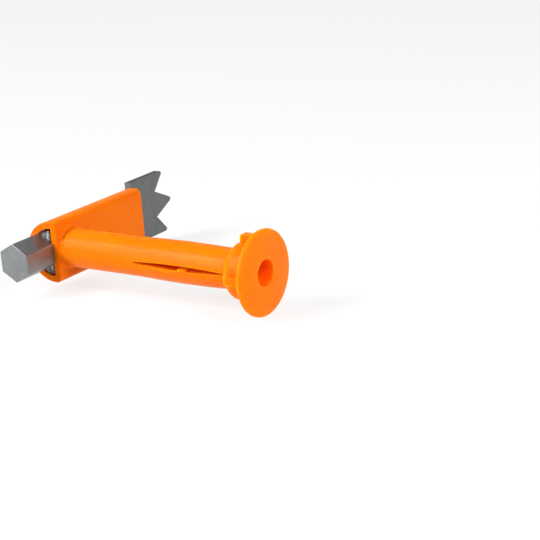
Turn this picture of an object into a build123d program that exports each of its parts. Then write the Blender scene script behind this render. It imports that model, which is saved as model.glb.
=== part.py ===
"""Self-drilling toggle anchor for hollow walls.

A moulded sleeve with a flange carries a toggle that flips on a hinge at the sleeve's inner end.
The toggle is a moulded half-round saddle round a loose steel bar. The bar has a D-shaped core
inside the saddle, with a hex shank at one end, a tapped cross hole on the sleeve's axis and a
stamped saw-tooth cutter at the other end.

Frame: +X runs along the sleeve out of the wall, +Y along the toggle towards its cutter, +Z up.
The origin is on the sleeve's axis in the plane where the flange seats on the wall.
"""
import os
from math import atan2, cos, hypot, pi, radians, sin, sqrt

from build123d import *

# ---------------------------------------------------------------- driving dimensions (mm)
grip_length = 42.0          # flange seat to the toggle's face
sleeve_diameter = 7.15
bore_diameter = 4.85        # clears a 3/16 in machine screw
flange_diameter = 15.25
flange_thickness = 1.03
neck_diameter = 10.35       # plug that centres the anchor in the drilled hole
neck_start = -5.4           # where the neck begins to swell from the tube
neck_lead = 2.2             # length of the swell
fin_count = 4               # fins that bite into the wall and stop the sleeve from turning
fin_diameter = 13.3
fin_length = 3.42
fin_thickness = 1.35

slit_start = -24.9          # end of the slit nearer the toggle
slit_end = -4.85            # end of the slit nearer the flange
slit_width = 1.05
slit_tip_width = 0.2
leg_bow = 0.2               # how far the legs on each side of the slit bow out
lug_place = -14.05          # lug on the lower leg that keeps the slit from closing
lug_length = 1.6
lug_gap = 0.14              # height of the lug's top below the slit's middle

saddle_height = 11.5
saddle_drop = 0.2           # the saddle hangs this much below the sleeve's axis
saddle_centre_depth = 1.4   # centre of the D section's round back below its face
saddle_wall = 1.2
face_wall = 1.25
saddle_start = -3.8         # hex end
saddle_end = 21.65          # cutter end
guide_hole_diameter = 5.2   # mouth of the hole in the face that guides the screw into the bar
back_hole_diameter = 5.8    # mouth of the hole through which the screw leaves the saddle
hole_draft = 6.0            # degrees

bar_depth = 4.0             # shank axis below the saddle's face
bar_drop = 0.3              # the loose bar lies this much below the sleeve's axis
core_flat_depth = 1.7
core_radius = 4.15
core_start = -3.88
core_end = 22.45
hex_across_flats = 6.35     # 1/4 in drive
hex_end = -11.3
tap_diameter = 3.9          # wall of the tapped cross hole

blade_thickness = 1.37
blade_height = 12.5         # cuts a 1/2 in hole
blade_shoulder = 22.65
tang_start = 14.0
tang_height = 2.8
tooth_set = 2.0             # degrees that each outer tooth is bent out of the blade's plane

saddle_rock = 0.6           # degrees that the saddle leans about the sleeve's axis, shank down
bar_rock = 0.85             # the same for the bar with its cutter
hinge_radius = 0.6
hinge_length = 3.2
neck_half = 0.3             # half the thickness of the bead's neck
end_gap = 0.1               # sleeve end to saddle face
flip_gap = 0.12             # saddle face to the sleeve's side once the toggle is in line
running_gap = 0.06          # radial gap between the hinge bead and its seat
slot_gap = 0.04             # each side of the cutter's tang

# ---------------------------------------------------------------- values worked out from these
sleeve_radius = sleeve_diameter / 2
bore_radius = bore_diameter / 2
flange_radius = flange_diameter / 2
neck_radius = neck_diameter / 2
face_x = -grip_length
sleeve_end_x = face_x + end_gap
saddle_radius = saddle_height / 2
saddle_centre_x = face_x - saddle_centre_depth
cavity_radius = saddle_radius - saddle_wall
bar_x = face_x - bar_depth
hex_radius = hex_across_flats / sqrt(3)
hinge_y = -(sleeve_radius + bore_radius) / 2
hinge_x = face_x + sleeve_radius + hinge_y + flip_gap
bar_axis = Axis((bar_x, 0, -bar_drop), (0, 1, 0))


def section_at(y):
    """Plane normal to the toggle's length at y: local x is +X, local y is +Z, normal is -Y."""
    return Plane(origin=(0, y, 0), x_dir=(1, 0, 0), z_dir=(0, -1, 0))


def d_section(centre_z, radius, flat_x):
    """Add to the current sketch a circle round the saddle's back centre, cut off flat at flat_x."""
    with Locations((saddle_centre_x, centre_z)):
        Circle(radius)
    with Locations((flat_x + radius, centre_z)):
        Rectangle(2 * radius, 2 * radius, mode=Mode.SUBTRACT)


def arc_points(centre, radius, first, last, steps):
    """Evenly spaced points on an arc about centre, from angle first to angle last in degrees."""
    angles = [radians(first + (last - first) * step / steps) for step in range(steps + 1)]
    return [(centre[0] + radius * cos(a), centre[1] + radius * sin(a)) for a in angles]


os.makedirs("parts", exist_ok=True)


# ---------------------------------------------------------------- sleeve
front_round = 0.38          # rounding of the flange's outer rim
back_round = 0.42           # rounding of the rim on the wall's side
fin_lead = 0.6              # rounding of each fin's leading corner
fin_root = bore_radius + 0.6
fin_sink = 0.3              # how far each fin runs into the flange
seat_overrun = 0.2          # how far the hinge seat's cut runs past the wall on each side
swing_room = 0.1            # room on each side of the bead's neck once the toggle is in line
facets = 3                  # straight steps in each rounding
bow_steps = 4
swell_steps = 5

front_centre = (flange_thickness - front_round, flange_radius - front_round)
back_centre = (back_round, flange_radius - back_round)
bow_length = neck_start - slit_start

# the legs bow out in a half sine wave and the neck swells in a quarter sine wave
bow = []
for step in range(bow_steps + 1):
    share = step / bow_steps
    bow.append((slit_start + bow_length * share, sleeve_radius + leg_bow * sin(pi * share)))
swell = []
for step in range(1, swell_steps + 1):
    share = step / swell_steps
    rise = (neck_radius - sleeve_radius) * sin(pi / 2 * share)
    swell.append((neck_start + neck_lead * share, sleeve_radius + rise))

with BuildPart() as sleeve:
    # tube with bowed legs, swelling neck and flange turned about the sleeve's axis
    with BuildSketch(Plane.XY):
        with BuildLine():
            Polyline(
                (sleeve_end_x, sleeve_radius),
                (sleeve_end_x, bore_radius),
                (flange_thickness, bore_radius),
                *arc_points(front_centre, front_round, 0, 90, facets),
                *arc_points(back_centre, back_round, 90, 180, facets),
                (0, neck_radius),
                *reversed(swell),
                *reversed(bow),
                close=True,
            )
        make_face()
    revolve(axis=Axis.X)

    # fins along the neck, each rooted in the tube's wall
    with BuildSketch(Plane.XZ) as fin_profile:
        with Locations(((fin_sink - fin_length) / 2, (fin_root + fin_diameter / 2) / 2)):
            Rectangle(fin_length + fin_sink, fin_diameter / 2 - fin_root)
        corner = fin_profile.vertices().group_by(Axis.Y)[-1].sort_by(Axis.X)[0]
        fillet(corner, fin_lead)
    fin = extrude(amount=fin_thickness / 2, both=True, mode=Mode.PRIVATE)
    for index in range(fin_count):
        add(fin.rotate(Axis.X, index * 360 / fin_count))

    # two lens-shaped slits that leave the tube as an upper and a lower leg, with a lug between
    slit_middle = (slit_start + slit_end) / 2
    with BuildSketch(Plane.XZ):
        with BuildLine():
            upper = ThreePointArc(
                (slit_start, slit_tip_width / 2),
                (slit_middle, slit_width / 2),
                (slit_end, slit_tip_width / 2),
            )
            lower = ThreePointArc(
                (slit_start, -slit_tip_width / 2),
                (slit_middle, -slit_width / 2),
                (slit_end, -slit_tip_width / 2),
            )
            Line(upper @ 0, lower @ 0)
            Line(upper @ 1, lower @ 1)
        make_face()
        with Locations((lug_place, -(slit_width + lug_gap) / 2)):
            Rectangle(lug_length, slit_width - lug_gap, mode=Mode.SUBTRACT)
    extrude(amount=flange_radius, both=True, mode=Mode.SUBTRACT)

    # seat for the hinge bead, in the wall at the toggle's hex side, with room for its neck to swing
    seat_length = hinge_length + 2 * end_gap
    with BuildSketch(Plane.XY.offset(-seat_length / 2)):
        with Locations((hinge_x, hinge_y)):
            Circle(hinge_radius + running_gap)
        with Locations(((face_x + hinge_x) / 2, hinge_y)):
            Rectangle(hinge_x - face_x, sleeve_radius - bore_radius + 2 * seat_overrun)
        with Locations((hinge_x, -sleeve_radius)):
            Rectangle(2 * (neck_half + swing_room), hinge_radius)
    extrude(amount=seat_length, mode=Mode.SUBTRACT)

sleeve.part.label = "sleeve"
export_step(sleeve.part, "parts/sleeve.step")


# ---------------------------------------------------------------- toggle saddle
face_round = 1.1            # rounding of the face's two long edges
end_round = 0.2             # rounding of the saddle's two ends

with BuildPart() as shell:
    # D-shaped bar with softened edges, hollowed to a tube of the same section
    with BuildSketch(section_at(saddle_end)) as outside:
        d_section(-saddle_drop, saddle_radius, face_x)
        fillet(outside.vertices().group_by(Axis.X)[-1], face_round)
    extrude(amount=saddle_end - saddle_start)
    ends = shell.faces().group_by(Axis.Y)
    fillet(ends[0].edges() + ends[-1].edges(), end_round)
    with BuildSketch(section_at(saddle_end)):
        d_section(-saddle_drop, cavity_radius, face_x - face_wall)
    extrude(amount=saddle_end - saddle_start, mode=Mode.SUBTRACT)

    # drafted screw holes through the face and the round back
    with BuildSketch(Plane(origin=(face_x, 0, 0), x_dir=(0, 1, 0), z_dir=(-1, 0, 0))):
        Circle(guide_hole_diameter / 2)
    extrude(amount=2 * face_wall, taper=hole_draft, mode=Mode.SUBTRACT)
    with BuildSketch(Plane.YZ.offset(saddle_centre_x - saddle_radius)):
        Circle(back_hole_diameter / 2)
    extrude(amount=2 * saddle_wall, taper=hole_draft, mode=Mode.SUBTRACT)

with BuildPart() as saddle:
    add(shell.part.rotate(Axis.X, saddle_rock))

    # hinge bead on a short neck that is rooted in the face wall
    neck_root = face_x - face_wall / 2
    with BuildSketch(Plane.XY.offset(-hinge_length / 2)):
        with Locations((hinge_x, hinge_y)):
            Circle(hinge_radius)
        with Locations(((neck_root + hinge_x) / 2, hinge_y)):
            Rectangle(hinge_x - neck_root, 2 * neck_half)
    extrude(amount=hinge_length)

saddle.part.label = "toggle_saddle"
export_step(saddle.part, "parts/toggle_saddle.step")


# ---------------------------------------------------------------- drive bar
core_round = 0.35           # rounding of the core flat's two long edges
core_chamfer = 0.3
hex_round = 0.35            # rounding of the shank's long edges
shank_chamfer = 0.15

with BuildPart() as level_bar:
    # D-shaped core that fills the saddle with slack
    with BuildSketch(section_at(core_end)) as core_section:
        d_section(-bar_drop, core_radius, face_x - core_flat_depth)
        fillet(core_section.vertices().group_by(Axis.X)[-1], core_round)
    extrude(amount=core_end - core_start)
    core_ends = level_bar.faces().group_by(Axis.Y)
    chamfer(core_ends[0].edges() + core_ends[-1].edges(), core_chamfer)

    # hex shank up to the saddle's mouth, with two flats parallel to the saddle's face
    with BuildSketch(section_at(core_start)) as shank_section:
        with Locations((bar_x, -bar_drop)):
            RegularPolygon(hex_radius, 6, rotation=30)
        fillet(shank_section.vertices(), hex_round)
    extrude(amount=core_start - hex_end)
    shank_rim = level_bar.faces().sort_by(Axis.Y)[0].edges()
    chamfer(shank_rim, shank_chamfer)

    # tapped cross hole on the sleeve's axis
    with BuildSketch(Plane.YZ.offset(bar_x)):
        Circle(tap_diameter / 2)
    extrude(amount=2 * core_radius, both=True, mode=Mode.SUBTRACT)

    # pocket for the cutter's tang
    with BuildSketch(section_at(core_end)):
        with Locations((bar_x, -bar_drop)):
            Rectangle(blade_thickness + 2 * slot_gap, tang_height + 2 * slot_gap)
    extrude(amount=core_end - tang_start + slot_gap, mode=Mode.SUBTRACT)

bar = level_bar.part.rotate(Axis.X, bar_rock)
bar.label = "drive_bar"
export_step(bar, "parts/drive_bar.step")


# ---------------------------------------------------------------- cutter blade
valley_y, valley_z = 30.1, 2.63      # root between the centre tooth and an outer one
point_y = 35.1                       # tip of the centre tooth
outer_tip_y, outer_tip_z = 33.0, 5.9
outer_edge_y = 32.4                  # where an outer tooth's side begins to fall to its tip
crease_z = 3.9                       # height at which the crease leaves the shoulder
crease_lap = 0.25                    # how far a bent tooth runs back past its crease
point_half, point_fall = 0.45, 0.5   # blunt end of the centre tooth
tip_round = 0.35

crease_run = valley_y - blade_shoulder
crease_drop = crease_z - valley_z
crease_angle = atan2(crease_drop, crease_run)
set_angle = radians(tooth_set)


def on_crease(y, z):
    """Coordinates of a blade point measured along and away from the upper crease line."""
    along = (y - valley_y) * cos(crease_angle) - (z - valley_z) * sin(crease_angle)
    away = (y - valley_y) * sin(crease_angle) + (z - valley_z) * cos(crease_angle)
    return (along, away)


middle_plane = Plane(origin=(bar_x, 0, -bar_drop), x_dir=(0, 1, 0), z_dir=(1, 0, 0))
tooth_plane = Plane(
    origin=(bar_x, valley_y, valley_z - bar_drop),
    x_dir=(0, cos(crease_angle), -sin(crease_angle)),
    z_dir=(cos(set_angle), sin(set_angle) * sin(crease_angle), sin(set_angle) * cos(crease_angle)),
)

with BuildPart() as level_blade:
    # flat middle: tang, web and centre tooth
    with BuildSketch(middle_plane) as middle:
        with BuildLine():
            Polyline(
                (tang_start, tang_height / 2),
                (blade_shoulder, tang_height / 2),
                (blade_shoulder, crease_z),
                (valley_y, valley_z),
                (point_y - point_fall, point_half),
                (point_y, 0),
                (point_y - point_fall, -point_half),
                (valley_y, -valley_z),
                (blade_shoulder, -crease_z),
                (blade_shoulder, -tang_height / 2),
                (tang_start, -tang_height / 2),
                close=True,
            )
        make_face()
        fillet(middle.vertices().group_by(Axis.X)[-1], tip_round)
    extrude(amount=blade_thickness / 2, both=True)

    # an outer tooth, bent back about its crease; its twin is the same tooth turned half round
    with BuildSketch(tooth_plane) as outer:
        with BuildLine():
            Polyline(
                on_crease(blade_shoulder, crease_z),
                on_crease(blade_shoulder, blade_height / 2),
                on_crease(outer_edge_y, blade_height / 2),
                on_crease(outer_tip_y, outer_tip_z),
                on_crease(valley_y, valley_z),
                (0, -crease_lap),
                (-hypot(crease_run, crease_drop), -crease_lap),
                close=True,
            )
        make_face()
        fillet(outer.vertices().sort_by(Axis.X)[-2:], tip_round)
    tooth = extrude(amount=blade_thickness / 2, both=True, mode=Mode.PRIVATE)
    add(tooth)
    add(tooth.rotate(bar_axis, 180))

blade = level_blade.part.rotate(Axis.X, bar_rock)
blade.label = "cutter_blade"
export_step(blade, "parts/cutter_blade.step")
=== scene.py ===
"""Looks of the self-drilling toggle anchor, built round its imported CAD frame.

The anchor is an orange nylon sleeve with a flange, a nylon saddle round a loose steel drive bar, and a
stamped steel cutter. Everything is in metres, in the CAD's own frame: +X along the sleeve out of the wall,
+Y along the toggle to its cutter, +Z up.
"""
import logging
import math
from dataclasses import dataclass, field
from enum import Enum

import bmesh
import bpy
import numpy as np
from mathutils import Matrix, Vector


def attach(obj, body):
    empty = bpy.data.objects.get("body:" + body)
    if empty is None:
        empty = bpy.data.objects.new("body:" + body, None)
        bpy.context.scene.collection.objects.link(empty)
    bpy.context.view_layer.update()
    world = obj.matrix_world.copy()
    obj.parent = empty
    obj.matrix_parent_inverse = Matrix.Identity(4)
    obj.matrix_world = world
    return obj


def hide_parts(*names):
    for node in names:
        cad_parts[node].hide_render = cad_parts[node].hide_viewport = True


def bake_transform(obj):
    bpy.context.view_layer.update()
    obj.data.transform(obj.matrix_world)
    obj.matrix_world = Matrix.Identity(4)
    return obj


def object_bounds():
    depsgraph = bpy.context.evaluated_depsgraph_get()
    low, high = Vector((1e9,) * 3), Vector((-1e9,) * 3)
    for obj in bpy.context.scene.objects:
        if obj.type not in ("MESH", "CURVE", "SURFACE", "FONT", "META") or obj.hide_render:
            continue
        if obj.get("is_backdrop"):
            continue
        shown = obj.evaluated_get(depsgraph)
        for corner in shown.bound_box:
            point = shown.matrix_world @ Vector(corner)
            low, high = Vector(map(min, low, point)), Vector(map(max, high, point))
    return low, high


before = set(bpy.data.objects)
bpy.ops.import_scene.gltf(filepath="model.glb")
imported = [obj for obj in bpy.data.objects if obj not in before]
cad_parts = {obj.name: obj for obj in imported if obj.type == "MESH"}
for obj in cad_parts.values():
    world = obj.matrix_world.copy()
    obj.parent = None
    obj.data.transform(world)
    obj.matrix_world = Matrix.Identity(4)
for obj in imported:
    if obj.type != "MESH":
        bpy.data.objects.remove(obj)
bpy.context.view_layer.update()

log = logging.getLogger("anchor")

MM = 0.001
Array = np.ndarray
Triple = tuple[float, float, float]

SLEEVE_RADIUS = 3.575 * MM
FACE_X = -42.0 * MM  # the saddle's flat face
FACE_EDGE = 3.76 * MM  # from the sleeve's axis to the face's end on the hex side


class Slot(Enum):
    """Material slots of the record."""

    NYLON = "orange_nylon"
    BAR = "bar_steel"
    BLADE = "blade_steel"


class Body(Enum):
    """Moving bodies of the frame."""

    SLEEVE = "sleeve"
    TOGGLE = "toggle"


# ---------------------------------------------------------------- node graph helpers
@dataclass
class Graph:
    """A material's node tree, with short calls for the nodes that the finishes share."""

    material: bpy.types.Material

    @classmethod
    def start(cls, name: str) -> "Graph":
        """Make an empty node material.

        Args:
            name: the material's name.

        Returns:
            The graph that fills it.
        """
        material = bpy.data.materials.new(name)
        material.use_nodes = True
        material.node_tree.nodes.clear()
        return cls(material)

    def node(self, kind: str, **values: object) -> bpy.types.Node:
        """Add a node and set its plain properties.

        Args:
            kind: the node's type, without the "ShaderNode" prefix.
            values: properties of the node by name.

        Returns:
            The new node.
        """
        made = self.material.node_tree.nodes.new("ShaderNode" + kind)
        for key, value in values.items():
            setattr(made, key, value)
        return made

    def link(self, source: bpy.types.NodeSocket, target: bpy.types.NodeSocket) -> None:
        """Join two sockets."""
        self.material.node_tree.links.new(source, target)

    def place(self) -> bpy.types.NodeSocket:
        """Return the object coordinates, which are the frame's own metres."""
        return self.node("TexCoord").outputs["Object"]

    def stretched(self, scale: Triple) -> bpy.types.NodeSocket:
        """Return object coordinates scaled unevenly, for grain with a direction.

        Args:
            scale: how much finer the pattern is along each axis.

        Returns:
            The scaled coordinates.
        """
        mapping = self.node("Mapping")
        mapping.inputs["Scale"].default_value = scale
        self.link(self.place(), mapping.inputs["Vector"])
        return mapping.outputs["Vector"]

    def noise(
        self, place: bpy.types.NodeSocket, per_metre: float, detail: float = 3.0, roughness: float = 0.5
    ) -> bpy.types.NodeSocket:
        """Add fractal noise.

        Args:
            place: the coordinates that it reads.
            per_metre: how many features fit in a metre.
            detail: octaves.
            roughness: weight of the finer octaves.

        Returns:
            The noise's value, about 0.5 on average.
        """
        made = self.node("TexNoise")
        made.inputs["Scale"].default_value = per_metre
        made.inputs["Detail"].default_value = detail
        made.inputs["Roughness"].default_value = roughness
        self.link(place, made.inputs["Vector"])
        return made.outputs["Fac"]

    def spread(
        self, value: bpy.types.NodeSocket, low: float, high: float, start: float = 0.3, end: float = 0.7
    ) -> bpy.types.NodeSocket:
        """Map a value from start..end to low..high, clamped.

        Args:
            value: the socket to map.
            low: result at start.
            high: result at end.
            start: input that gives low.
            end: input that gives high.

        Returns:
            The mapped value.
        """
        made = self.node("MapRange", clamp=True)
        made.inputs["From Min"].default_value = start
        made.inputs["From Max"].default_value = end
        made.inputs["To Min"].default_value = low
        made.inputs["To Max"].default_value = high
        self.link(value, made.inputs["Value"])
        return made.outputs["Result"]

    def added(self, first: bpy.types.NodeSocket, second: bpy.types.NodeSocket) -> bpy.types.NodeSocket:
        """Add two values.

        Args:
            first: one value.
            second: the other.

        Returns:
            Their sum.
        """
        made = self.node("Math", operation="ADD")
        self.link(first, made.inputs[0])
        self.link(second, made.inputs[1])
        return made.outputs[0]

    def mixed(
        self,
        factor: bpy.types.NodeSocket,
        first: Triple,
        second: Triple,
    ) -> bpy.types.NodeSocket:
        """Mix two colours.

        Args:
            factor: 0 gives the first, 1 the second.
            first: linear red, green and blue.
            second: linear red, green and blue.

        Returns:
            The mixed colour.
        """
        made = self.node("Mix", data_type="RGBA", clamp_factor=False)
        made.inputs[6].default_value = (*first, 1.0)
        made.inputs[7].default_value = (*second, 1.0)
        self.link(factor, made.inputs[0])
        return made.outputs[2]

    def bump(
        self, height: bpy.types.NodeSocket, depth: float, below: bpy.types.NodeSocket | None = None
    ) -> bpy.types.NodeSocket:
        """Turn a height into a normal.

        Args:
            height: 0 to 1.
            depth: metres between height 0 and height 1.
            below: a normal that this one is laid over.

        Returns:
            The bumped normal.
        """
        made = self.node("Bump")
        made.inputs["Strength"].default_value = 1.0
        made.inputs["Distance"].default_value = depth
        self.link(height, made.inputs["Height"])
        if below is not None:
            self.link(below, made.inputs["Normal"])
        return made.outputs["Normal"]

    def shader(self, **constants: object) -> bpy.types.Node:
        """Add the principled shader and the output.

        Args:
            constants: socket values, with underscores for spaces in the names.

        Returns:
            The shader node.
        """
        made = self.node("BsdfPrincipled")
        for key, value in constants.items():
            made.inputs[key.replace("_", " ")].default_value = value
        output = self.node("OutputMaterial")
        self.link(made.outputs["BSDF"], output.inputs["Surface"])
        return made


# ---------------------------------------------------------------- finishes
@dataclass(frozen=True)
class NylonFinish:
    """Satin moulded nylon: a deep orange that light enters a little, with a faint flow mottle.

    Light reaches as far as glow inside the wall. Where a second reach is given, the reach grows to it over
    a span of x away from the saddle. That is painted light: the free sleeve glows deeper, and the sleeve by
    the saddle stays darker, as painted shade. The names in per_metre say how many features of each noise
    fit in a metre.
    """

    name: str = "moulded_orange_nylon"
    tint: Triple = (0.95, 0.155, 0.001)
    warm: Triple = (0.93, 0.138, 0.001)
    roughness: tuple[float, float] = (0.26, 0.38)
    glow: float = 2.4 * MM
    painted_glow: float | None = None
    painted_glow_x: tuple[float, float] = (-33.0 * MM, -26.0 * MM)
    glow_share: float = 0.9
    glow_colour: Triple = (1.0, 0.42, 0.06)
    ior: float = 1.36
    gloss_level: float = 0.1
    gloss_tint: Triple = (1.0, 0.8, 0.6)
    flow_per_metre: float = 140.0
    gloss_per_metre: float = 900.0
    scuff_per_metre: float = 1700.0
    scuff_stretch: Triple = (0.35, 1.0, 1.0)
    scuff_band: tuple[float, float] = (0.6, 0.72)
    scuff_dulling: float = 0.2
    grain_per_metre: float = 5200.0
    grain_depth: float = 0.004 * MM
    swell_per_metre: float = 260.0
    swell_depth: float = 0.03 * MM

    def build(self) -> bpy.types.Material:
        """Make the material.

        Returns:
            The material: slow mottle in the colour, finer mottle and scuffs in the gloss, and two scales of
            bump.
        """
        graph = Graph.start(self.name)
        place = graph.place()
        shader = graph.shader(
            Subsurface_Weight=self.glow_share,
            Subsurface_Scale=self.glow,
            Subsurface_Radius=self.glow_colour,
            IOR=self.ior,
            Specular_IOR_Level=self.gloss_level,
            Specular_Tint=(*self.gloss_tint, 1.0),
        )
        # Painted light: the reach grows with x, deeper on the free sleeve and shallower, as painted shade,
        # by the saddle.
        if self.painted_glow is not None:
            split = graph.node("SeparateXYZ")
            graph.link(place, split.inputs["Vector"])
            reach = graph.spread(split.outputs["X"], self.glow, self.painted_glow, *self.painted_glow_x)
            graph.link(reach, shader.inputs["Subsurface Scale"])
        flow = graph.noise(place, self.flow_per_metre, detail=2.0)
        colour = graph.mixed(graph.spread(flow, 0.0, 1.0), self.tint, self.warm)
        graph.link(colour, shader.inputs["Base Color"])
        gloss = graph.noise(place, self.gloss_per_metre, detail=4.0)
        scuffs = graph.noise(
            graph.stretched(self.scuff_stretch), self.scuff_per_metre, detail=6.0, roughness=0.7
        )
        dull = graph.added(
            graph.spread(gloss, *self.roughness),
            graph.spread(scuffs, 0.0, self.scuff_dulling, *self.scuff_band),
        )
        graph.link(dull, shader.inputs["Roughness"])
        grain = graph.noise(place, self.grain_per_metre)
        swell = graph.noise(place, self.swell_per_metre, detail=1.0)
        normal = graph.bump(swell, self.swell_depth)
        normal = graph.bump(grain, self.grain_depth, normal)
        graph.link(normal, shader.inputs["Normal"])
        return graph.material


@dataclass(frozen=True)
class SteelFinish:
    """Dull plated or stamped steel: cloudy grey metal with a drawn grain and worn scratches."""

    name: str
    dark: Triple
    light: Triple
    roughness: tuple[float, float]
    grain: Triple
    grain_depth: float = 0.003 * MM
    scratches: Triple = (0.2, 1.0, 0.3)
    wear: float = 1.2
    wear_band: tuple[float, float] = (0.62, 0.7)
    cloud_share: float = 0.7
    cloud_per_metre: float = 420.0
    streak_per_metre: float = 1400.0
    scratch_per_metre: float = 2400.0
    pit_per_metre: float = 2600.0

    def build(self) -> bpy.types.Material:
        """Make the material.

        Returns:
            The material: clouds, streaks and scratches in the colour, streaks in the gloss, and pits and
            streaks in the bump. The streaks and the scratches are drawn along one axis each.
        """
        graph = Graph.start(self.name)
        place = graph.place()
        shader = graph.shader(Metallic=1.0)
        cloud = graph.noise(place, self.cloud_per_metre, detail=4.0, roughness=0.6)
        streak = graph.noise(graph.stretched(self.grain), self.streak_per_metre, detail=5.0, roughness=0.65)
        scratch = graph.noise(
            graph.stretched(self.scratches), self.scratch_per_metre, detail=6.0, roughness=0.75
        )
        tone = graph.added(
            graph.spread(cloud, 0.0, self.cloud_share), graph.spread(streak, 0.0, 1.0 - self.cloud_share)
        )
        worn = graph.added(tone, graph.spread(scratch, 0.0, self.wear, *self.wear_band))
        graph.link(graph.mixed(worn, self.dark, self.light), shader.inputs["Base Color"])
        graph.link(graph.spread(streak, *self.roughness), shader.inputs["Roughness"])
        pits = graph.noise(place, self.pit_per_metre)
        normal = graph.bump(pits, self.grain_depth)
        normal = graph.bump(streak, self.grain_depth, normal)
        graph.link(normal, shader.inputs["Normal"])
        return graph.material


Finish = NylonFinish | SteelFinish

# The main nylon, with painted light: a deeper glow on the sleeve away from the saddle.
NYLON = NylonFinish(painted_glow=6.5 * MM)
# The saddle's copy of the nylon: a shorter reach of light, as the steel bar backs its walls, and a darker
# tint, which is painted shade on the saddle.
BACKED_NYLON_PAINTED_SHADE = NylonFinish(
    name="moulded_orange_nylon_backed_painted_shade",
    tint=(0.72, 0.15, 0.001),
    warm=(0.70, 0.135, 0.001),
    glow=0.5 * MM,
)
# The thin pieces' copy of the nylon: a short reach of light, and a tint a little darker than the sleeve's,
# which is painted shade in the crease at the sleeve's foot.
THIN_NYLON_PAINTED_SHADE = NylonFinish(
    name="moulded_orange_nylon_thin_painted_shade",
    tint=(0.88, 0.155, 0.001),
    warm=(0.86, 0.138, 0.001),
    glow=0.1 * MM,
)
BAR_STEEL = SteelFinish(
    name="dull_plated_bar_steel",
    dark=(0.215, 0.225, 0.225),
    light=(0.29, 0.30, 0.30),
    roughness=(0.36, 0.5),
    grain=(1.0, 0.08, 1.0),
)
BLADE_STEEL = SteelFinish(
    name="stamped_blade_steel",
    dark=(0.155, 0.16, 0.16),
    light=(0.20, 0.205, 0.202),
    roughness=(0.42, 0.58),
    grain=(1.0, 0.1, 1.0),
)


# ---------------------------------------------------------------- studio
@dataclass(frozen=True)
class Softbox:
    """Square soft light that faces the anchor.

    towards is the direction from the anchor to the light, reach its distance and side its width in metres,
    and power is in watts.
    """

    name: str
    towards: Triple
    reach: float
    side: float
    power: float

    def hang(self, centre: Vector) -> bpy.types.Object:
        """Put the light into the scene.

        Args:
            centre: the point that it faces.

        Returns:
            The light.
        """
        direction = Vector(self.towards).normalized()
        data = bpy.data.lights.new(self.name, "AREA")
        data.shape = "SQUARE"
        data.size = self.side
        data.energy = self.power
        made = bpy.data.objects.new(self.name, data)
        made.location = centre + direction * self.reach
        made.rotation_mode = "QUATERNION"
        made.rotation_quaternion = direction.to_track_quat("Z", "Y")
        bpy.context.scene.collection.objects.link(made)
        return made


SOFTBOXES = (
    Softbox("key_left", (-0.54, -0.50, 0.68), reach=0.6, side=0.18, power=3.0),
    Softbox("rim_behind", (-0.20, 0.83, 0.50), reach=0.8, side=0.6, power=0.7),
    Softbox("fill_left", (-0.45, -0.80, 0.42), reach=0.7, side=0.3, power=3.8),
    Softbox("fill_front", (0.80, -0.15, 0.58), reach=0.30, side=0.16, power=0.92),
)


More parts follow.
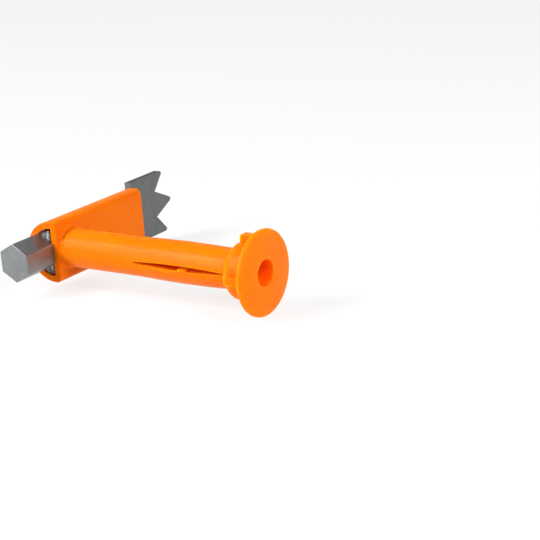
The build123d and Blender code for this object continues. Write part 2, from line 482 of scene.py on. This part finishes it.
@dataclass
class Studio:
    """Plain pale floor, soft light and the camera.

    The world's light grows from overhead, above fade_angle, to horizon at the floor's far edge.
    """

    aim: Vector = field(default_factory=lambda: Vector((1.38, 0.85, 0.357)) * MM)
    azimuth: float = 34.38
    elevation: float = 17.22
    roll: float = -3.79
    distance: float = 257.7 * MM
    lens: float = 101.35
    sensor: float = 36.0
    near: float = 1.0 * MM
    far: float = 10.0
    floor_size: float = 40.0
    floor_grey: float = 0.16
    floor_light: float = 0.79
    floor_roughness: float = 0.9
    overhead: float = 0.16
    horizon: float = 0.8
    fade_angle: float = math.radians(12.0)
    lit_point: Vector = field(default_factory=lambda: Vector((-22.0, 3.0, 0.0)) * MM)

    def camera(self) -> bpy.types.Object:
        """Place the camera round the aim point.

        The back vector is (sin a cos e, -cos a cos e, sin e); right and up are turned about it by the roll.

        Returns:
            The camera.
        """
        a, e, r = (math.radians(v) for v in (self.azimuth, self.elevation, self.roll))
        back = Vector((math.sin(a) * math.cos(e), -math.cos(a) * math.cos(e), math.sin(e)))
        level = Vector((math.cos(a), math.sin(a), 0.0))
        above = back.cross(level)
        right = math.cos(r) * level + math.sin(r) * above
        up = math.cos(r) * above - math.sin(r) * level
        data = bpy.data.cameras.new("camera")
        data.sensor_width = self.sensor
        data.lens = self.lens
        data.clip_start = self.near
        data.clip_end = self.far
        made = bpy.data.objects.new("camera", data)
        made.matrix_world = Matrix.Translation(self.aim + back * self.distance) @ Matrix(
            (right, up, back)
        ).transposed().to_4x4()
        bpy.context.scene.collection.objects.link(made)
        bpy.context.scene.camera = made
        return made

    def floor(self) -> bpy.types.Object:
        """Lay the floor under the lowest point of the anchor, square to the frame.

        Returns:
            The floor.
        """
        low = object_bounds()[0].z
        half = self.floor_size / 2
        mesh = bpy.data.meshes.new("floor")
        corners = [(-half, -half, low), (half, -half, low), (half, half, low), (-half, half, low)]
        mesh.from_pydata(corners, [], [(0, 1, 2, 3)])
        made = bpy.data.objects.new("floor", mesh)
        bpy.context.scene.collection.objects.link(made)
        graph = Graph.start("pale_floor")
        graph.shader(
            Base_Color=(self.floor_grey, self.floor_grey, self.floor_grey, 1.0),
            Roughness=self.floor_roughness,
            Specular_IOR_Level=0.0,
            Emission_Color=(1.0, 1.0, 1.0, 1.0),
            Emission_Strength=self.floor_light,
        )
        mesh.materials.append(graph.material)
        made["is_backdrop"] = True
        return made

    def world(self) -> None:
        """Fill the surroundings with white light that grows towards the horizon."""
        scene = bpy.context.scene
        scene.world = bpy.data.worlds.new("studio_white")
        scene.world.use_nodes = True
        nodes, links = scene.world.node_tree.nodes, scene.world.node_tree.links
        split = nodes.new("ShaderNodeSeparateXYZ")
        links.new(nodes.new("ShaderNodeTexCoord").outputs["Generated"], split.inputs["Vector"])
        fall = nodes.new("ShaderNodeMapRange")
        fall.inputs["From Min"].default_value = 0.0
        fall.inputs["From Max"].default_value = math.sin(self.fade_angle)
        fall.inputs["To Min"].default_value = self.horizon
        fall.inputs["To Max"].default_value = self.overhead
        links.new(split.outputs["Z"], fall.inputs["Value"])
        background = nodes["Background"]
        background.inputs["Color"].default_value = (1.0, 1.0, 1.0, 1.0)
        links.new(fall.outputs["Result"], background.inputs["Strength"])

    def build(self) -> None:
        """Make the whole studio."""
        bpy.context.scene.view_settings.view_transform = "Standard"
        self.camera()
        self.floor()
        self.world()
        for softbox in SOFTBOXES:
            softbox.hang(self.lit_point)
        log.info("studio: camera, floor and %d lights", len(SOFTBOXES))


# ---------------------------------------------------------------- pieces
def finished(finish: Finish) -> bpy.types.Material:
    """Return a finish's material, made once.

    Args:
        finish: the finish to look up or build.

    Returns:
        The material.
    """
    return bpy.data.materials.get(finish.name) or finish.build()


def placed(
    name: str, mesh: bpy.types.Mesh, body: Body | None, finish: Finish
) -> bpy.types.Object:
    """Put a mesh into the scene as a piece.

    Args:
        name: the piece's name.
        mesh: its mesh, in the frame's metres.
        body: the body that it moves with, or None for a piece that spans two.
        finish: the finish that it wears.

    Returns:
        The piece.
    """
    piece = bpy.data.objects.new(name, mesh)
    bpy.context.scene.collection.objects.link(piece)
    mesh.materials.clear()
    mesh.materials.append(finished(finish))
    if body is not None:
        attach(piece, body.value)
    log.info("%s: %d faces, %s", name, len(mesh.polygons), finish.name)
    return piece


def tube_mesh(name: str, grid: Array) -> bpy.types.Mesh:
    """Skin a tube over a grid of points.

    Row i holds one closed cross-section. Quad (i, j) joins points j and j + 1 of rows i and i + 1, the last
    column joins the first, and one face closes each end.

    Args:
        name: the mesh's name.
        grid: rows, columns and x, y, z in metres.

    Returns:
        The closed mesh, smooth shaded, with its faces outward.
    """
    rows, columns = grid.shape[:2]
    index = np.arange(rows * columns).reshape(rows, columns)
    wrapped = np.hstack([index, index[:, :1]])
    quads = np.stack([wrapped[:-1, :-1], wrapped[1:, :-1], wrapped[1:, 1:], wrapped[:-1, 1:]], axis=-1)
    faces = quads.reshape(-1, 4).tolist() + [index[0, ::-1].tolist(), index[-1].tolist()]
    mesh = bpy.data.meshes.new(name)
    mesh.from_pydata(grid.reshape(-1, 3).tolist(), [], faces)
    work = bmesh.new()
    work.from_mesh(mesh)
    bmesh.ops.recalc_face_normals(work, faces=work.faces)
    work.to_mesh(mesh)
    work.free()
    mesh.shade_smooth()
    return mesh


def smooth_step(value: Array) -> Array:
    """Return 3t^2 - 2t^3 of the value held between 0 and 1."""
    held = np.clip(value, 0.0, 1.0)
    return held * held * (3.0 - 2.0 * held)


@dataclass(frozen=True)
class HingeWeb:
    """Thin moulded strap that joins the sleeve's foot to the saddle over the hinge."""

    sleeve_radius: float = SLEEVE_RADIUS
    inner_radius: float = 2.5 * MM
    lift: float = 0.02 * MM
    sink: float = 0.1 * MM
    start_x: float = -39.8 * MM
    face_x: float = FACE_X
    face_edge: float = FACE_EDGE
    flare: float = 0.75 * MM
    half_angle: float = math.radians(50.0)
    ease: float = 0.3
    rows: int = 41
    columns: int = 61

    def grid(self) -> Array:
        """Compute the strap's skin.

        With u from 0 at the start to 1 at the saddle's face and v from -1 to 1 across the strap, the outer
        skin lies at angle v times the half angle from -Y. Its radius rises from the sleeve's less the sink,
        at u = 0 and |v| = 1, to the sleeve's plus the lift, over the share ease of u and of v. On top comes
        a quarter-circle fillet that flares out to the face, no further than the face's own edge, and fades
        towards |v| = 1 over the same share. The inner skin is a plain arc inside the wall.

        Returns:
            Rows along u; each row is the outer arc, then the inner arc backwards.
        """
        u = np.linspace(0.0, 1.0, self.rows)[:, None]
        v = np.linspace(-1.0, 1.0, self.columns)[None, :]
        x = self.start_x + (self.face_x - self.start_x) * u
        angle = v * self.half_angle
        across = smooth_step((1.0 - np.abs(v)) / self.ease)
        flare = np.minimum(self.flare, self.face_edge / np.cos(angle) - self.sleeve_radius - self.lift)
        near = np.clip((self.face_x + flare - x) / flare, 0.0, 1.0)
        fillet = flare * (1.0 - np.sqrt(1.0 - near**2)) * across
        rise = (self.sink + self.lift) * smooth_step(u / self.ease) * across
        outer = self.sleeve_radius - self.sink + rise + fillet
        outer_skin = np.stack(
            [np.broadcast_to(x, outer.shape), -outer * np.cos(angle), outer * np.sin(angle)], axis=-1
        )
        inner = np.full(outer.shape, self.inner_radius)
        inner_skin = np.stack(
            [np.broadcast_to(x, inner.shape), -inner * np.cos(angle), inner * np.sin(angle)], axis=-1
        )
        return np.concatenate([outer_skin, inner_skin[:, ::-1]], axis=1)

    def build(self) -> bpy.types.Object:
        """Make the strap; it follows the sleeve at its start and the saddle at the face.

        Returns:
            The piece.
        """
        # The strap wears the thin nylon, whose darker tint is painted shade.
        piece = placed("hinge_web", tube_mesh("hinge_web", self.grid()), None, THIN_NYLON_PAINTED_SHADE)
        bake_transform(piece)
        return piece


@dataclass(frozen=True)
class FootFillet:
    """Fillet that the saddle's face carries round the sleeve's foot, apart from the hinge's side."""

    inner_radius: float = SLEEVE_RADIUS + 0.01 * MM
    face_x: float = FACE_X
    face_edge: float = FACE_EDGE
    reach: float = 0.75 * MM
    sink: float = 0.04 * MM
    heel: float = 0.05
    least_cosine: float = 0.5
    first: float = math.radians(38.0)
    rows: int = 121
    columns: int = 13

    def grid(self) -> Array:
        """Compute the fillet.

        The profile is a concave quarter circle: with s from 0 to a quarter turn, the height above the face
        is reach * (1 - sin s) and the radius is inner + reach * (1 - cos s). It is swept about the sleeve's
        axis from inside one edge of the hinge strap round to inside the other, and the reach shrinks where
        it would pass the face's edge. The profile closes a sink below the face, and its heel there stands
        off by a share of the reach.

        Returns:
            Rows round the axis; each row is the closed profile.
        """
        s = np.linspace(0.0, math.pi / 2, self.columns)[None, :]
        turn = np.linspace(self.first, 2 * math.pi - self.first, self.rows)[:, None]
        edge = self.face_edge / np.maximum(np.cos(turn), self.least_cosine) - self.inner_radius
        reach = np.minimum(self.reach, edge)
        buried = np.full(turn.shape, self.face_x - self.sink)
        radius = self.inner_radius + reach * (1.0 - np.cos(s))
        radius = np.hstack([radius, self.inner_radius + reach, self.inner_radius + self.heel * reach])
        x = np.hstack([self.face_x + reach * (1.0 - np.sin(s)), buried, buried])
        return np.stack([x, -radius * np.cos(turn), radius * np.sin(turn)], axis=-1)

    def build(self) -> bpy.types.Object:
        """Make the piece.

        Returns:
            The piece.
        """
        mesh = tube_mesh("foot_fillet", self.grid())
        # The fillet wears the thin nylon, whose darker tint is painted shade.
        return placed("foot_fillet", mesh, Body.TOGGLE, THIN_NYLON_PAINTED_SHADE)


@dataclass(frozen=True)
class TapThread:
    """Crest of the bar's machine thread, standing in the tapped hole.

    An open fault: the helix is left-handed, and the thread in the record is right-handed.
    """

    hole_radius: float = 1.95 * MM
    crest_radius: float = 1.83 * MM
    pitch: float = 25.4 / 24 * MM
    first_x: float = -43.9 * MM
    last_x: float = -47.35 * MM
    root_half: float = 0.3
    crest_half: float = 0.06
    fade_turns: float = 0.25
    wall_lap: float = 0.03 * MM
    steps_per_turn: int = 60

    def grid(self) -> Array:
        """Compute the ridge.

        A point of the helix is at x = first - pitch * turns, angle 2 pi * turns. Across the ridge the radius
        falls from just inside the wall to the crest and back, over twice the root's half width in pitches,
        and the ridge fades to nothing over the first and last quarter turn.

        Returns:
            Rows along the helix; each row is the ridge's closed profile.
        """
        turns_total = (self.first_x - self.last_x) / self.pitch
        turns = np.linspace(0.0, turns_total, int(turns_total * self.steps_per_turn))[:, None]
        fade = smooth_step(turns / self.fade_turns) * smooth_step((turns_total - turns) / self.fade_turns)
        across = np.array([-self.root_half, -self.crest_half, self.crest_half, self.root_half])
        along = across[None, :] * self.pitch
        depth = np.array([0.0, 1.0, 1.0, 0.0])[None, :]
        foot = self.hole_radius + self.wall_lap
        radius = foot - (foot - self.crest_radius) * depth * fade
        angle = 2 * math.pi * turns
        x = self.first_x - self.pitch * turns + along
        return np.stack([x, radius * np.cos(angle), radius * np.sin(angle)], axis=-1)

    def build(self) -> bpy.types.Object:
        """Make the piece.

        Returns:
            The piece.
        """
        return placed("tap_thread", tube_mesh("tap_thread", self.grid()), Body.TOGGLE, BAR_STEEL)


@dataclass(frozen=True)
class TurnedEnd:
    """Cone that the lathe leaves on the core's end round the hex."""

    axis_x: float = -46.0 * MM
    axis_z: float = -0.3 * MM
    end_y: float = -3.88 * MM
    least_radius: float = 3.8 * MM
    depth: float = 0.5 * MM
    rock: float = math.radians(0.85)
    tolerance: float = 0.02 * MM

    def cut(self, mesh: bpy.types.Mesh) -> None:
        """Move the rim of the core's end back along the bar.

        A corner belongs to the rim where its y, with the bar's rock undone, is the end's and its distance
        from the bar's axis is more than the least radius; it moves by the depth.

        Args:
            mesh: the bar's merged mesh, changed in place.
        """
        points = np.empty(len(mesh.vertices) * 3, dtype=np.float32)
        mesh.vertices.foreach_get("co", points)
        points = points.reshape(-1, 3)
        c, s = math.cos(self.rock), math.sin(self.rock)
        level_y = c * points[:, 1] + s * points[:, 2]
        level_z = c * points[:, 2] - s * points[:, 1]
        radius = np.hypot(points[:, 0] - self.axis_x, level_z - self.axis_z)
        rim = (np.abs(level_y - self.end_y) < self.tolerance) & (radius > self.least_radius)
        points[rim, 1] += self.depth
        mesh.vertices.foreach_set("co", points.ravel())
        log.info("turned end: %d corners moved", int(rim.sum()))


@dataclass
class SoftEdged:
    """A CAD solid shown by a merged, smooth-shaded copy with a trace of rounding on its sharp edges.

    edge is the width that the bevel asks for. The meshes have edges far shorter than that, so the bevel's
    overlap clamp holds the real width under 0.01 mm. With the clamp off, faces cross one another.
    """

    node: str
    name: str
    body: Body
    slot: Slot
    finish: Finish
    edge: float
    turned: TurnedEnd | None = None
    crease: float = math.radians(32.0)
    flat_within: float = math.radians(0.6)
    merge_within: float = 2e-4 * MM
    segments: int = 3

    def merged(self) -> bpy.types.Mesh:
        """Join the node's loose triangles into one surface and dissolve the edges inside its flat areas.

        Returns:
            A new mesh with shared corners, smooth shaded.
        """
        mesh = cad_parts[self.node].data.copy()
        mesh.name = self.name
        work = bmesh.new()
        work.from_mesh(mesh)
        bmesh.ops.remove_doubles(work, verts=work.verts, dist=self.merge_within)
        work.to_mesh(mesh)
        if self.turned is not None:
            self.turned.cut(mesh)
        work.clear()
        work.from_mesh(mesh)
        bmesh.ops.dissolve_limit(work, angle_limit=self.flat_within, verts=work.verts, edges=work.edges)
        work.to_mesh(mesh)
        work.free()
        if "custom_normal" in mesh.attributes:
            mesh.attributes.remove(mesh.attributes["custom_normal"])
        mesh.shade_smooth()
        return mesh

    def build(self) -> bpy.types.Object:
        """Make the piece and let it stand for its node.

        Returns:
            The piece.
        """
        piece = placed(self.name, self.merged(), self.body, self.finish)
        bevel = piece.modifiers.new("soft_edges", "BEVEL")
        bevel.width = self.edge
        bevel.segments = self.segments
        bevel.limit_method = "ANGLE"
        bevel.angle_limit = self.crease
        bevel.harden_normals = True
        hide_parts(self.node)
        return piece


def main() -> None:
    """Build the pieces in order, then the studio."""
    logging.basicConfig(level=logging.INFO, format="%(name)s %(message)s")
    for part in (
        SoftEdged("sleeve", "moulded_sleeve", Body.SLEEVE, Slot.NYLON, NYLON, 0.12 * MM),
        # The saddle wears the nylon copy whose darker tint is painted shade.
        SoftEdged("toggle_saddle", "moulded_saddle", Body.TOGGLE, Slot.NYLON, BACKED_NYLON_PAINTED_SHADE, 0.2 * MM),
        SoftEdged("drive_bar", "machined_bar", Body.TOGGLE, Slot.BAR, BAR_STEEL, 0.14 * MM, TurnedEnd()),
        SoftEdged("cutter_blade", "stamped_cutter", Body.TOGGLE, Slot.BLADE, BLADE_STEEL, 0.07 * MM),
    ):
        part.build()
    for detail in (HingeWeb(), FootFillet(), TapThread()):
        detail.build()
    Studio().build()


if __name__ == "__main__":
    main()
